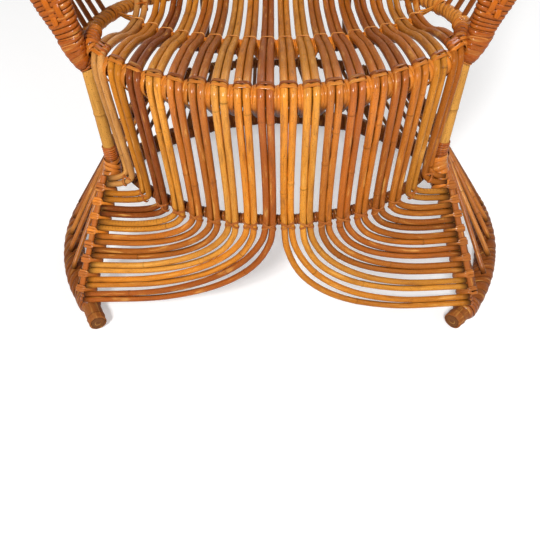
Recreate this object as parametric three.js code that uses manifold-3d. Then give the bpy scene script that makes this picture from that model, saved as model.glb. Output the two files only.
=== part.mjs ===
// Peacock chair of bent rattan: a round hourglass base, a dished cane seat, wrapped arms and a fan back.
// Millimetres, +Z up, front of the chair towards -Y, origin under the middle of its bounding box.
import * as THREE from 'three';
import { mergeVertices } from 'three/addons/utils/BufferGeometryUtils.js';
import Module from 'manifold-3d';

const wasm = await Module();
wasm.setup();

// Driving dimensions
const gap = 0.3;                 // running clearance between pieces that touch
const pairsPerSide = 9;          // cane pairs on each side of the middle

// Floor ring: a pole bent into a hoop, open at the front, bound with peel except at its cut ends
const ringRadius = 418;
const footHalfSpanShare = 0.732;
const leftMouthShare = 0.7608;   // where its ends are cut, as shares of its radius
const rightMouthShare = 0.7153;
const rightMouthForward = 4;
const ringPoleRadius = 17;
const ringWrapRadius = 20.5;
const ringWrapClearance = 0.4;
const bareFootLength = 38;

// Long canes, thickest over the seat and thinner at both ends
const caneRadiusSeat = 5.6;
const caneRadiusWaist = 5.2;
const caneRadiusFoot = 4.8;
const caneRadiusTop = 4.6;
const pairPitch = 29.9;
const waistPitchShare = 0.98;
const footCanePitch = 10.6;

// Front rim of the seat, and the bar that the canes are bound to at the waist
const rimRadius = 11.8;
const rimHeight = 412;
const rimFront = 48;
const frontArcMargin = 39;       // from the hoops' widest line to the radius of the front rim and waist bar
const waistHeight = 201;
const waistFront = 42;
const waistBarRadius = 9;
const waistTouchShare = 0.945;

// Hoops round the sides and back of the seat and the waist
const hoopMargin = 46.85;        // from the outermost cane pair to the hoops' widest line
const hoopRearShare = 2.04;      // how far back the hoops reach, as a share of their half-width
const seatHoopRadius = 11;
const seatHoopFrontHeight = 424;
const seatHoopRearHeight = 368;
const waistHoopRadius = 9;
const waistHoopHeight = 206;
const hoopSetback = 16;
const spliceRun = 5;             // how far a hoop's pole runs straight at its ends
const hoopWidestShare = 0.17;
const waistBarInset = 44;        // its ends stop this far inside the hoop's widest line
const rimInset = 38;

// Corner posts
const postRadius = 10;
const postY = 180;
const postTop = 394;
const kneeY = 178;
const kneeHeight = 228;
const kneeRound = 18;
const kneeWrapTop = 36;
const kneeWrapRadius = 13.6;
const legStripWidth = 12;
const legStripOffset = 9.5;
const tightTurn = 14;
const legStripThickness = 5;
const legStripTop = 20;
const legStripEnd = 43;
const caneEndInset = 1;

// The chair is bent by hand, so its two front legs and the sweep of the canes differ a little.
// The row of cane ends down a leg starts at firstRow below the knee, one pair every rowPitch, and opens by
// rowSpread in its lower half. Footward, bulge brings the inner pairs forward, sag lowers and round tightens them.
const leftPostInset = 17;        // from the hoops' widest line
const leftKneeInset = 20;
const leftFootShare = 0.835;     // the foot's x, as a share of the ring's radius
const leftFootForward = 21;
const leftFirstRow = 25;
const leftRowPitch = 25.2;
const leftRowSpread = 1.9;
const leftBulge = 14;
const leftSag = 0;
const leftRoundShare = 0.12;
const rightPostInset = 22;
const rightKneeInset = 28;
const rightFootShare = 0.794;
const rightFootForward = 16;
const rightFirstRow = 30;
const rightRowPitch = 24.6;
const rightRowSpread = 4.4;
const rightBulge = 22;
const rightSag = 6;
const rightRoundShare = 0;

// Dished seat
const dishDepth = 68;
const crossPoleRadius = 9.5;
const crossPoleSetback = 252;
const weaveStripWidth = 5.5;
const weaveStripThickness = 1.4;

// Fan back
const fanHalfWidth = 510;
const fanCentreHeight = 930;
const fanRise = 455;
const fanSpread = 88;            // degrees from the top of the fan to its outermost pair
const fanRearMargin = 26;        // how far behind the hoops the surface of the fan meets the seat
const fanLeanShare = 0.16;
const fanSideForward = 117;      // how far the sides of the fan come forward of its middle
const fanBelly = 22;             // how far its canes bow back just above the seat
const fanForward = 420;          // how fast the ends of its rim turn forward into the arms
const fanRimHalfWidth = 24;
const fanRimHalfThickness = 14;
const fanRimSpread = 112;        // degrees from the top to the joint with the arms
const fanRimClearance = 1;
const backHoopRadius = 8;
const backHoopShares = [0.3, 0.68];
const backHoopReach = pairsPerSide / (pairsPerSide - 0.5);
const backPostRadius = 9.5;
const backPostU = 0.55;
const backPostPlace = 13;        // stands in the skirt after this many canes
const backPostBow = 7;

// Arms
const armBandHalfThickness = 12;
const armHalfWidth = 34;
const armWidthShares = [0.33, 0.47, 0.62, 0.8, 1, 1, 0.91, 0.82];
const armShares = [[0.056, 0, 0.085], [0.094, 0.009, 0.167], [0.151, 0.02, 0.268], [0.333, 0.123, 0.536],
  [0.51, 0.323, 0.672], [0.656, 0.557, 0.738]];  // of the way from post head to the end of the fan rim
const armStartGap = 4;
const armTurn = 74;
const infillRadius = 4.6;
const infillCount = 7;

// Skirt canes between the waist hoop and the floor ring
const skirtRadius = 4.4;
const skirtCount = 36;
const skirtHoopSetback = 0.035;
const skirtRingSetback = 0.003;
const skirtOutset = 4;           // how far outside the crown of the ring the canes stand

// Colours
const honey = 0xc98034;
const amber = 0xb5651d;
const chestnut = 0x8a4a20;
const straw = 0xc9a050;

const rad = THREE.MathUtils.degToRad;
const V = (x, y, z) => new THREE.Vector3(x, y, z);
const ringCentreY = ringRadius * Math.sqrt(1 - footHalfSpanShare ** 2);
const octagonFlat = Math.cos(Math.PI / 8);   // how far an octagon's flats lie, as a share of its radius
const ringHeight = ringWrapRadius * octagonFlat;
const outerPairX = (pairsPerSide - 0.5) * pairPitch;
const hoopHalfWidth = outerPairX + hoopMargin;
const hoopRear = hoopRearShare * hoopHalfWidth;
const frontArcRadius = hoopHalfWidth + frontArcMargin;
const rimCentreY = rimFront + frontArcRadius;
const waistCentreY = waistFront + frontArcRadius;
const leftHand = {
  name: 'left', side: -1, postInset: leftPostInset, kneeInset: leftKneeInset, footShare: leftFootShare,
  footForward: leftFootForward, firstRow: leftFirstRow, rowPitch: leftRowPitch, rowSpread: leftRowSpread,
  bulge: leftBulge, sag: leftSag, round: leftRoundShare,
};
const rightHand = {
  name: 'right', side: 1, postInset: rightPostInset, kneeInset: rightKneeInset, footShare: rightFootShare,
  footForward: rightFootForward, firstRow: rightFirstRow, rowPitch: rightRowPitch, rowSpread: rightRowSpread,
  bulge: rightBulge, sag: rightSag, round: rightRoundShare,
};
const hands = [leftHand, rightHand];

const chair = new THREE.Group();

function add(name, geometry, color, roughness = 0.45) {
  const material = new THREE.MeshStandardMaterial({ color, roughness, metalness: 0 });
  const mesh = new THREE.Mesh(geometry, material);
  mesh.name = name;
  chair.add(mesh);
  return mesh;
}

// A regular polygon inside a circle, with a flat side facing the profile's first axis
function ngon(radius, sides) {
  const shape = new THREE.Shape();
  for (let i = 0; i < sides; i += 1) {
    const a = ((i + 0.5) / sides) * 2 * Math.PI;
    const x = radius * Math.cos(a);
    const y = radius * Math.sin(a);
    if (i === 0) shape.moveTo(x, y);
    else shape.lineTo(x, y);
  }
  shape.closePath();
  return shape;
}

// A curve whose even steps fall on the given points, so that bends get more rings than straights
class Stations extends THREE.Curve {
  constructor(points) {
    super();
    this.points = points;
  }

  getPoint(t, target = new THREE.Vector3()) {
    const at = t * (this.points.length - 1);
    const i = Math.min(Math.floor(at), this.points.length - 2);
    return target.copy(this.points[i]).lerp(this.points[i + 1], at - i);
  }

  getUtoTmapping(u) {
    return u;
  }

  getTangent(t, target = new THREE.Vector3()) {
    const i = Math.round(t * (this.points.length - 1));
    const before = this.points[Math.max(i - 1, 0)];
    const after = this.points[Math.min(i + 1, this.points.length - 1)];
    return target.copy(after).sub(before).normalize();
  }
}

function extrudeAlong(points, shape) {
  return new THREE.ExtrudeGeometry(shape, {
    steps: points.length - 1,
    extrudePath: new Stations(points),
    bevelEnabled: false,
  });
}

const pole = (points, radius, sides = 8) => extrudeAlong(points, ngon(radius, sides));

function sleeve(points, outer, inner, sides = 8) {
  const shape = ngon(outer, sides);
  shape.holes.push(ngon(inner, sides));
  return extrudeAlong(points, shape);
}

// Frames whose first axis stays as near as it can to a chosen direction at each point
function framesAcross(points, across) {
  const curve = new Stations(points);
  const last = points.length - 1;
  const normals = [];
  const binormals = [];
  points.forEach((p, k) => {
    const tangent = curve.getTangent(k / last);
    const wanted = across(k / last, p);
    const normal = wanted.addScaledVector(tangent, -wanted.dot(tangent)).normalize();
    normals.push(normal);
    binormals.push(tangent.clone().cross(normal));
  });
  return { normals, binormals };
}

// A lofted stick: one ring of corners round each point, from its half-width and half-thickness there
function loft(points, halves, corners, frames) {
  const sides = corners.length;
  const last = points.length - 1;
  const { normals, binormals } = frames || new Stations(points).computeFrenetFrames(last, false);
  const position = [];
  const index = [];
  points.forEach((p, k) => {
    const [a, b] = halves(k / last, k);
    for (const [cx, cy] of corners) {
      const v = p.clone().addScaledVector(normals[k], a * cx).addScaledVector(binormals[k], b * cy);
      position.push(v.x, v.y, v.z);
    }
  });
  for (let k = 0; k < last; k += 1) {
    for (let i = 0; i < sides; i += 1) {
      const j = (i + 1) % sides;
      const a = k * sides + i;
      const b = k * sides + j;
      index.push(a, b, a + sides, b, b + sides, a + sides);
    }
  }
  for (let i = 1; i < sides - 1; i += 1) {
    index.push(0, i + 1, i);
    index.push(last * sides, last * sides + i, last * sides + i + 1);
  }
  const geometry = new THREE.BufferGeometry();
  geometry.setAttribute('position', new THREE.Float32BufferAttribute(position, 3));
  geometry.setIndex(index);
  return geometry;
}

const roundCorners = (sides) => Array.from({ length: sides }, (_, i) => {
  const angle = ((i + 0.5) / sides) * 2 * Math.PI;
  return [Math.cos(angle), Math.sin(angle)];
});
const stripCorners = [[1, 1], [-1, 1], [-1, -1], [1, -1]];
const bandCorners = [[1, 0.45], [0.72, 1], [-0.72, 1], [-1, 0.45], [-1, -0.45], [-0.72, -1], [0.72, -1], [1, -0.45]];

function solid(geometry) {
  const bare = geometry.clone();
  bare.deleteAttribute('normal');
  bare.deleteAttribute('uv');
  const merged = mergeVertices(bare);
  return new wasm.Manifold(new wasm.Mesh({
    numProp: 3,
    vertProperties: merged.attributes.position.array,
    triVerts: Uint32Array.from(merged.index.array),
  }));
}

function toGeometry(manifold) {
  const mesh = manifold.getMesh();
  const geometry = new THREE.BufferGeometry();
  geometry.setAttribute('position', new THREE.Float32BufferAttribute(mesh.vertProperties, 3));
  geometry.setIndex(new THREE.Uint32BufferAttribute(mesh.triVerts, 1));
  return geometry;
}

const fused = (geometries) => toGeometry(geometries.map(solid).reduce((a, b) => a.add(b)));

// A stick cut to the shape of the piece it stands on; what the cut leaves beyond that piece is dropped
function coped(geometry, cutter) {
  const bodies = solid(geometry).subtract(solid(cutter)).decompose();
  return toGeometry(bodies.reduce((best, body) => (body.volume() > best.volume() ? body : best)));
}

const mirrored = (points, side) => points.map((p) => V(side * p.x, p.y, p.z));

// Floor ring
function ringPoint(angle, radius = ringRadius, height = ringHeight) {
  return V(radius * Math.sin(angle), ringCentreY - radius * Math.cos(angle), height);
}

function ringArc(from, to, steps) {
  return Array.from({ length: steps + 1 }, (_, i) => ringPoint(from + ((to - from) * i) / steps));
}

const wrapAngle = (share) => Math.asin(share) + bareFootLength / ringRadius;
const wrapPath = ringArc(wrapAngle(rightMouthShare), 2 * Math.PI - wrapAngle(leftMouthShare), 26);
const ringPath = [
  V(rightMouthShare * ringRadius, -rightMouthForward, ringHeight),
  ...wrapPath,
  V(-leftMouthShare * ringRadius, 0, ringHeight),
];
add('floor_ring', pole(ringPath, ringPoleRadius), straw);
const wrapBore = ringPoleRadius + ringWrapClearance;
add('floor_ring_wrapping', sleeve(wrapPath, ringWrapRadius, wrapBore), chestnut);

// Plan of the hoops at the sides and back, from one post round to the other
const hoopPlanShares = [[0.95, 0], [0.997, 0.18], [1, 0.39], [0.94, 0.62], [0.75, 0.83], [0.4, 0.96], [0, 1]];

function hoopCurve(frontHeight, rearHeight) {
  const half = hoopPlanShares.map(([sx, sy]) => V(
    sx * hoopHalfWidth,
    postY + sy * (hoopRear - postY),
    frontHeight + sy * (rearHeight - frontHeight),
  ));
  const other = mirrored(half.slice(0, -1), -1).reverse();
  return new THREE.CatmullRomCurve3([...half, ...other], false, 'centripetal');
}

const seatHoop = hoopCurve(seatHoopFrontHeight, seatHoopRearHeight);
const waistHoop = hoopCurve(waistHoopHeight, waistHoopHeight);

// A stretch of a hoop, between two distances along it
function hoopStretch(curve, from, to, steps) {
  const length = curve.getLength();
  const places = Array.from({ length: steps + 1 }, (_, i) => from + ((to - from) * i) / steps);
  places.splice(1, 0, from + spliceRun);
  places.splice(-1, 0, to - spliceRun);
  return places.map((place) => curve.getPointAt(place / length));
}

// Where a hoop's rear crosses the plane of a given x
function hoopAtX(curve, x) {
  if (x < 0) return hoopAtX(curve, -x).multiply(V(-1, 1, 1));
  let low = hoopWidestShare;
  let high = 0.5;
  for (let i = 0; i < 40; i += 1) {
    const mid = (low + high) / 2;
    if (curve.getPointAt(mid).x > x) low = mid;
    else high = mid;
  }
  return curve.getPointAt((low + high) / 2);
}

const seatHoopPath = hoopStretch(seatHoop, hoopSetback, seatHoop.getLength() - hoopSetback, 26);
add('seat_hoop', pole(seatHoopPath, seatHoopRadius), amber);

// Corner posts: foot coped to the floor ring, knee at the waist, top under the arm
const ringCutter = pole(ringPath, ringWrapRadius + gap);
for (const hand of hands) {
  const { name, side } = hand;
  const knee = V(hoopHalfWidth - hand.kneeInset, kneeY, kneeHeight);
  const postHead = V(hoopHalfWidth - hand.postInset, postY, postTop);
  const postUp = postHead.clone().sub(knee).normalize();
  hand.knee = knee;
  hand.postHead = postHead;
  hand.foot = ringPoint(Math.asin(hand.footShare)).add(V(0, -hand.footForward, 0));
  hand.down = hand.foot.clone().sub(knee).normalize();
  hand.forward = V(1, 0, 0).cross(hand.down).normalize().negate();
  const kneeBend = [
    ...new THREE.QuadraticBezierCurve3(
      knee.clone().addScaledVector(hand.down, kneeRound),
      knee,
      knee.clone().addScaledVector(postUp, kneeRound),
    ).getPoints(4),
    knee.clone().addScaledVector(postUp, kneeWrapTop),
  ];
  const post = pole(mirrored([hand.foot, ...kneeBend, postHead], side), postRadius);
  add(`front_post_${name}`, coped(post, ringCutter), straw);
  const kneeBore = postRadius + ringWrapClearance;
  add(`waist_binding_${name}`, sleeve(mirrored(kneeBend, side), kneeWrapRadius, kneeBore), amber);
}

// Front rim of the seat and the bar at the waist
function frontArc(centreY, radius, halfSpan, height, steps) {
  const end = Math.asin(halfSpan / radius);
  return Array.from({ length: steps + 1 }, (_, i) => {
    const a = -end + (2 * end * i) / steps;
    return V(radius * Math.sin(a), centreY - radius * Math.cos(a), height);
  });
}

const rimArc = frontArc(rimCentreY, frontArcRadius, hoopHalfWidth - rimInset, rimHeight, 14);
add('front_rim', pole(rimArc, rimRadius), amber);
const waistBarArc = frontArcRadius - gap - waistTouchShare * (caneRadiusWaist + waistBarRadius);
const waistBar = frontArc(waistCentreY, waistBarArc, hoopHalfWidth - waistBarInset, waistHeight, 12);
add('waist_bar', pole(waistBar, waistBarRadius), amber);

// Fan back, as a surface: u runs across the pairs from -1 to 1, s from the seat up to the rim
const rimBend = rimRadius + 1.5 * gap + caneRadiusSeat;

function fanDepth(x, z) {
  return hoopRear + fanRearMargin + fanLeanShare * (z - rimHeight) - fanSideForward * (x / fanHalfWidth) ** 2;
}

function fanRim(angle) {
  const x = fanHalfWidth * Math.sin(angle);
  const z = fanCentreHeight + fanRise * Math.cos(angle);
  const past = Math.max(Math.abs(angle) - rad(fanSpread), 0);
  return V(x, fanDepth(x, z) - fanForward * past * past, z);
}

const fanHeart = V(0, fanDepth(0, fanCentreHeight), fanCentreHeight);

function seatEnd(x) {
  const hoop = hoopAtX(seatHoop, x);
  const clear = seatHoopRadius + gap + caneRadiusSeat;
  const slant = 1 + 2.1 * (Math.abs(x) / hoopHalfWidth) ** 3;
  return V(x, hoop.y - 0.68 * clear * slant, hoop.z + 0.76 * clear);
}

function backCurve(u) {
  const foot = seatEnd(u * outerPairX);
  const angle = u * rad(fanSpread);
  const rim = fanRim(angle);
  const inward = fanHeart.clone().sub(rim).normalize();
  const slantReach = caneRadiusTop * Math.abs(Math.sin(angle));
  const top = rim.addScaledVector(inward, fanRimHalfWidth + fanRimClearance + slantReach);
  const side = Math.abs(u);
  const inset = 0.04 * u * outerPairX;
  const rise = foot.clone().lerp(top, 0.13).add(V(-inset, (1 - 1.36 * side) * fanBelly, 0.55 * fanBelly));
  const middle = foot.clone().lerp(top, 0.52).add(V(0, 0.45 * fanBelly, 0.9 * side * fanBelly));
  return new THREE.CatmullRomCurve3([foot, rise, middle, top], false, 'centripetal');
}

// The long canes
const dip = [[0.25, 0.26], [0.5, 0.75], [0.73, 0.98], [0.88, 1]];
const backStations = [0, 0.07, 0.16, 0.3, 0.68, 1];

function seatPoints(x, yRim) {
  const end = seatEnd(x);
  const length = end.y - yRim;
  const centre = seatEnd(0).y - rimFront;
  const depth = dishDepth * (length / centre) ** 0.45;
  return dip.map(([s, d]) => V(x, yRim + s * length, rimHeight + rimBend - d * depth));
}

function arcY(centreY, x, radius) {
  return centreY - Math.sqrt(radius ** 2 - x * x);
}

// Where a cane is nailed to the face of the front leg, from its place in the row of canes
function onLegFace(hand, along, thickness) {
  return hand.knee.clone()
    .addScaledVector(hand.down, along)
    .addScaledVector(hand.forward, postRadius * octagonFlat + gap + thickness);
}

// One cane: from the front leg, in along the base, up the apron, over the rim, over the seat and up the back
function canePath(hand, pair, which) {
  const across = pairsPerSide - 0.5 - pair;
  const step = which === 0 ? 1 : -1;
  const x = across * pairPitch + step * (caneRadiusSeat + gap / 2);
  const xWaist = across * pairPitch * waistPitchShare + step * (caneRadiusWaist + gap / 2);
  const yWaist = arcY(waistCentreY, xWaist, frontArcRadius);
  const yRim = arcY(rimCentreY, x, frontArcRadius);
  const yApron = arcY(rimCentreY, x, frontArcRadius + rimBend);
  const row = hand.firstRow + pair * hand.rowPitch + Math.max(pair - 5, 0) * hand.rowSpread;
  const start = onLegFace(hand, row + which * footCanePitch, caneRadiusFoot);
  start.x += caneEndInset;
  const points = [start];
  const reach = start.x - xWaist;
  const turnTop = Math.max(waistHeight, onLegFace(hand, row, caneRadiusFoot).z + tightTurn);
  const drop = turnTop - start.z;
  const sweep = pair < 2 ? [60, 35, 15, 0] : [66, 46, 28, 12, 0];
  const inner = pair / pairsPerSide;
  const bulge = hand.bulge * inner ** 2;
  for (const degrees of sweep) {
    const a = rad(degrees);
    const share = start.y > yWaist ? Math.cos(a) : (1 - Math.sin(a)) ** 2;
    const sideways = (1 - Math.cos(a)) ** (1 + 0.13 * which);
    points.push(V(
      xWaist + reach * sideways,
      start.y + (yWaist - start.y) * share - bulge * Math.sin(2 * a),
      turnTop - drop * Math.sin(a) ** (1 + hand.round * inner ** 3) - hand.sag * inner * Math.sin(2 * a),
    ));
  }
  for (const degrees of [-15, 25, 60, 97]) {
    const a = rad(degrees);
    const rise = degrees < 0 ? Math.tan(a) : Math.sin(a);
    points.push(V(x, yRim - (yRim - yApron) * Math.cos(Math.max(a, 0)), rimHeight + rimBend * rise));
  }
  points.push(...seatPoints(x, yRim));
  const back = backCurve(x / outerPairX);
  for (const s of backStations) points.push(back.getPoint(s));
  return points;
}

const stops = [[0, caneRadiusFoot], [0.3, caneRadiusWaist], [0.45, caneRadiusSeat], [0.7, caneRadiusSeat],
  [1, caneRadiusTop]];

function caneRadius(t) {
  const i = stops.findIndex(([at]) => at >= t);
  if (i <= 0) return stops[0][1];
  const [t0, r0] = stops[i - 1];
  const [t1, r1] = stops[i];
  return r0 + ((r1 - r0) * (t - t0)) / (t1 - t0);
}

for (const hand of hands) {
  const { name, side } = hand;
  for (let pair = 0; pair < pairsPerSide; pair += 1) {
    ['a', 'b'].forEach((letter, which) => {
      const points = mirrored(canePath(hand, pair, which), side);
      const geometry = loft(points, (t) => [caneRadius(t), caneRadius(t)], roundCorners(5));
      add(`cane_${name}_${pair + 1}${letter}`, geometry, honey);
    });
  }
}

// Seat: a cross pole under the canes and the peel strip that binds them on top
function alongSeat(points, y) {
  const i = points.findIndex((p) => p.y > y);
  const [a, b] = [points[i - 1], points[i]];
  return a.clone().lerp(b, (y - a.y) / (b.y - a.y));
}

function acrossSeat(x, lift) {
  const start = V(x, arcY(rimCentreY, x, frontArcRadius), rimHeight + rimBend);
  const path = [start, ...seatPoints(x, start.y), seatEnd(x)];
  const y = arcY(rimCentreY + crossPoleSetback, x, frontArcRadius);
  return alongSeat(path, y).add(V(0, 0, lift));
}

const acrossCount = 18;
const acrossEnd = outerPairX + pairPitch / 3;
const acrossXs = Array.from({ length: acrossCount + 1 }, (_, i) => (-1 + (2 * i) / acrossCount) * acrossEnd);
const underSeat = -1.03 * (caneRadiusSeat + crossPoleRadius) - gap;
const overSeat = 1.16 * caneRadiusSeat + gap + weaveStripThickness / 2;
add('seat_cross_pole', pole(acrossXs.map((x) => acrossSeat(x, underSeat)), crossPoleRadius, 6), amber);
const weavePath = acrossXs.map((x) => acrossSeat(x, overSeat));
const weaveFrames = framesAcross(weavePath, () => V(0, 1, 0));
const weaveHalves = () => [weaveStripWidth / 2, weaveStripThickness / 2];
add('seat_weave_strip', loft(weavePath, weaveHalves, stripCorners, weaveFrames), honey);

// Strips that cover the cane ends on the front legs
for (const hand of hands) {
  const { name, side } = hand;
  const legLength = hand.foot.distanceTo(hand.knee);
  const stripPath = [legStripTop, legLength / 2, legLength - legStripEnd]
    .map((along) => onLegFace(hand, along, legStripThickness / 2).add(V(legStripOffset, 0, 0)));
  const path = mirrored(stripPath, side);
  const frames = framesAcross(path, () => V(1, 0, 0));
  add(`leg_strip_${name}`, loft(path, () => [legStripWidth / 2, legStripThickness / 2], stripCorners, frames), honey);
}

// A thin cane from a head down to the surface of a round rail, square to itself where it lands
function landed(head, rail, share, railRadius, radius) {
  const heart = rail.getPoint(share);
  const towards = head.clone().sub(heart).normalize();
  const alongRail = Math.abs(towards.dot(rail.getTangent(share)));
  const clear = (railRadius + 1.5 * gap + radius * alongRail) / Math.sqrt(1 - alongRail ** 2);
  return pole([head, heart.addScaledVector(towards, clear)], radius, 5);
}

// Waist hoop round the sides and back, of four poles spliced end to end, each with the skirt canes
// that splay from it down to the floor ring
const wrapCurve = new Stations(wrapPath);
const skirtPlace = (share) => skirtHoopSetback + (1 - 2 * skirtHoopSetback) * share;
const skirtHead = (share) => waistHoop.getPointAt(skirtPlace(share));
const skirtFoot = (share) => wrapCurve.getPoint(skirtRingSetback + (1 - 2 * skirtRingSetback) * share);

function outside(point, offset) {
  const out = V(point.x, point.y - ringCentreY, 0).normalize();
  return point.clone().addScaledVector(out, offset);
}

function skirtCane(share) {
  const head = skirtHead(share);
  const foot = outside(skirtFoot(share), skirtOutset).add(V(0, 0, ringHeight + 1.5 * gap));
  const slope = head.clone().sub(foot).normalize();
  foot.z += skirtRadius * Math.hypot(slope.x, slope.y);
  return pole([head, foot], skirtRadius, 5);
}
const hoopPoleNames = ['right_front', 'right_rear', 'left_rear', 'left_front'];
const poleCount = hoopPoleNames.length;
const canesPerPole = skirtCount / poleCount;
const waistRun = waistHoop.getLength();
const splice = (k) => waistRun * skirtPlace(k / poleCount);
hoopPoleNames.forEach((name, k) => {
  const from = k === 0 ? hoopSetback : splice(k) + gap / 2;
  const to = k === poleCount - 1 ? waistRun - hoopSetback : splice(k + 1) - gap / 2;
  const path = hoopStretch(waistHoop, from, to, 7);
  const canes = Array.from({ length: canesPerPole }, (_, i) => skirtCane((k * canesPerPole + i + 0.5) / skirtCount));
  add(`waist_hoop_${name}`, fused([pole(path, waistHoopRadius), ...canes]), amber);
});

// Fan rim and the hoops that brace the canes from behind
function rimPoints(steps) {
  const end = rad(fanRimSpread);
  return Array.from({ length: steps + 1 }, (_, i) => fanRim(-end + (2 * end * i) / steps));
}

const rimPath = rimPoints(32);
const rimFrames = framesAcross(rimPath, (_, p) => p.clone().sub(fanHeart));
add('back_rim', loft(rimPath, () => [fanRimHalfWidth, fanRimHalfThickness], bandCorners, rimFrames), amber);

function backNormal(u, s) {
  const step = 0.01;
  const across = backCurve(u + step).getPoint(s).sub(backCurve(u - step).getPoint(s));
  const along = backCurve(u).getPoint(Math.min(s + step, 1)).sub(backCurve(u).getPoint(s - step));
  return along.cross(across).normalize();
}

function behindBack(u, s, offset) {
  return backCurve(u).getPoint(s).addScaledVector(backNormal(u, s), offset);
}

const hoopOffset = caneRadiusSeat + backHoopRadius;
const pairUs = Array.from({ length: 2 * pairsPerSide }, (_, i) => (i + 0.5) / (pairsPerSide - 0.5) - backHoopReach);
backHoopShares.forEach((s, k) => {
  const path = [-backHoopReach, ...pairUs, backHoopReach].map((u) => behindBack(u, s, hoopOffset));
  add(`back_hoop_${['lower', 'upper'][k]}`, pole(path, backHoopRadius, 6), amber);
});

// Back posts: up from the floor ring outside the hoops, then behind the hoops of the fan
const postShare = backPostPlace / skirtCount;
const backPostOffset = hoopOffset + backHoopRadius + backPostRadius;
const seatCrossing = hoopAtX(seatHoop, backPostU * outerPairX);
for (const { name, side } of hands) {
  const share = side > 0 ? postShare : 1 - postShare;
  const post = pole([
    skirtFoot(share),
    outside(skirtHead(share), gap + waistTouchShare * (waistHoopRadius + backPostRadius)),
    ...mirrored([
      outside(seatCrossing, seatHoopRadius + 2 * gap + backPostRadius + backPostBow),
      ...[0.1, 0.2, 0.3, 0.5, 0.72].map((s) => behindBack(backPostU, s, backPostOffset)),
    ], side),
  ], backPostRadius);
  add(`back_post_${name}`, coped(post, ringCutter), straw);
}

// Arms: a wrapped band from the post head up to the end of the fan rim, filled in below with upright canes
const rimEnd = rimPath[rimPath.length - 1];
const rimRun = rimEnd.clone().sub(rimPath[rimPath.length - 2]).normalize();
const armHalves = [...armWidthShares.map((share) => share * armHalfWidth), fanRimHalfWidth];
for (const { name, side, postHead } of hands) {
  const armSpan = rimEnd.clone().sub(postHead);
  const path = mirrored([
    postHead.clone().add(V(0, 0, armStartGap)),
    ...armShares.map((share) => armSpan.clone().multiply(V(...share)).add(postHead)),
    rimEnd.clone().addScaledVector(rimRun, armTurn),
    rimEnd.clone().addScaledVector(rimRun, gap),
  ], side);
  const frames = framesAcross(path, () => V(1, 0, 0));
  const band = loft(path, (_, k) => [armHalves[k], armBandHalfThickness], bandCorners, frames);
  const rail = new Stations(mirrored(seatHoopPath, side));
  const infill = Array.from({ length: infillCount }, (_, i) => {
    const share = 0.02 + (0.17 * i) / (infillCount - 1);
    const head = new Stations(path).getPoint(0.36 + (0.4 * i) / (infillCount - 1));
    return landed(head, rail, share, seatHoopRadius, infillRadius);
  });
  add(`arm_band_${name}`, fused([band, ...infill]), amber);
}

// Origin under the middle of the bounding box
const box = new THREE.Box3().setFromObject(chair);
const centre = box.getCenter(new THREE.Vector3());
chair.position.set(-centre.x, -centre.y, -box.min.z);

export default chair;
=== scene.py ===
# Looks of the bent rattan peacock chair: round canes, wound peel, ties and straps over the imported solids.
from math import asin, cos, hypot, pi, sin, sqrt

import bpy
import numpy as np
from mathutils import Matrix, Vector
from numpy.linalg import norm


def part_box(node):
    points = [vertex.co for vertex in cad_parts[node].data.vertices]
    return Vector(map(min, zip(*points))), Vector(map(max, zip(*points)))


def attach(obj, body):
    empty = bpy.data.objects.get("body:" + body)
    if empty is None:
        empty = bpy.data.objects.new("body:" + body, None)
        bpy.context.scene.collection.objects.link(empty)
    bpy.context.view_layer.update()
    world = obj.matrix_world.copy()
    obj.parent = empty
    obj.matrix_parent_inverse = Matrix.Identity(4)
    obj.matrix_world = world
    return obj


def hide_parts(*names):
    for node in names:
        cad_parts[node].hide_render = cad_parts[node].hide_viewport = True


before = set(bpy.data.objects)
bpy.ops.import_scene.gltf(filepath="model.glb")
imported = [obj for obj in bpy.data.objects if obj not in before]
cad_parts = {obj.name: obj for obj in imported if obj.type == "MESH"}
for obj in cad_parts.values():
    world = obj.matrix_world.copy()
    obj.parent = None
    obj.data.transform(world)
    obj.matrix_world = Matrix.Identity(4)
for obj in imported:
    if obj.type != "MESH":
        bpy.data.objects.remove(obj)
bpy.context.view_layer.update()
scene = bpy.context.scene

MM = 0.001
UP = np.array([0, 0, 1.0])
SIDES = {"left": -1, "right": 1}
PAIRS = 9
PAIR_LIST = [(side, pair) for side in SIDES for pair in range(PAIRS)]

# Sizes that the CAD was drawn with, in mm
RIM_FRONT = 37.10
RIM_HEIGHT = 412
RING_RADIUS = 418.0
FOOT_HALF_SPAN_SHARE = 0.732
RING_MIDDLE = RING_RADIUS * sqrt(1 - FOOT_HALF_SPAN_SHARE ** 2)
RING_WRAP_RADIUS = 20.5
RING_HEIGHT = RING_WRAP_RADIUS * cos(pi / 8)
POST_Y = 180
POST_HEADS = {"left": (284, POST_Y, 394), "right": (279, POST_Y, 394)}
KNEES = {"left": (281, 178, 228), "right": (273, 178, 228)}
FOOT_SHARES = {"left": 0.835, "right": 0.794}  # of the ring's radius
FOOT_AHEAD = {"left": 21, "right": 16}  # of the ring
HOOP_HALF_WIDTH = 301
HOOP_REAR = 614.04
WAIST_HOOP_HEIGHT = 206
SKIRT_COUNT = 36
SKIRT_ON_HOOP = (0.035, 0.93)  # start and run, as shares of the waist hoop
SKIRT_ON_RING = (0.003, 0.994)  # the same of the ring's bound part
SKIRT_OUTSET = 4
BACK_POST_PLACE = 13  # how many skirt canes come before it
FAN_CENTRE_HEIGHT, FAN_REAR_MARGIN, FAN_LEAN_SHARE = 930, 26, 0.16
FAN_RIM_HALF_WIDTH = 24
ARM_HALF_WIDTH = 34
ARM_WIDTH_SHARES = (0.33, 0.47, 0.62, 0.8, 1, 1, 0.91, 0.82)
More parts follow.
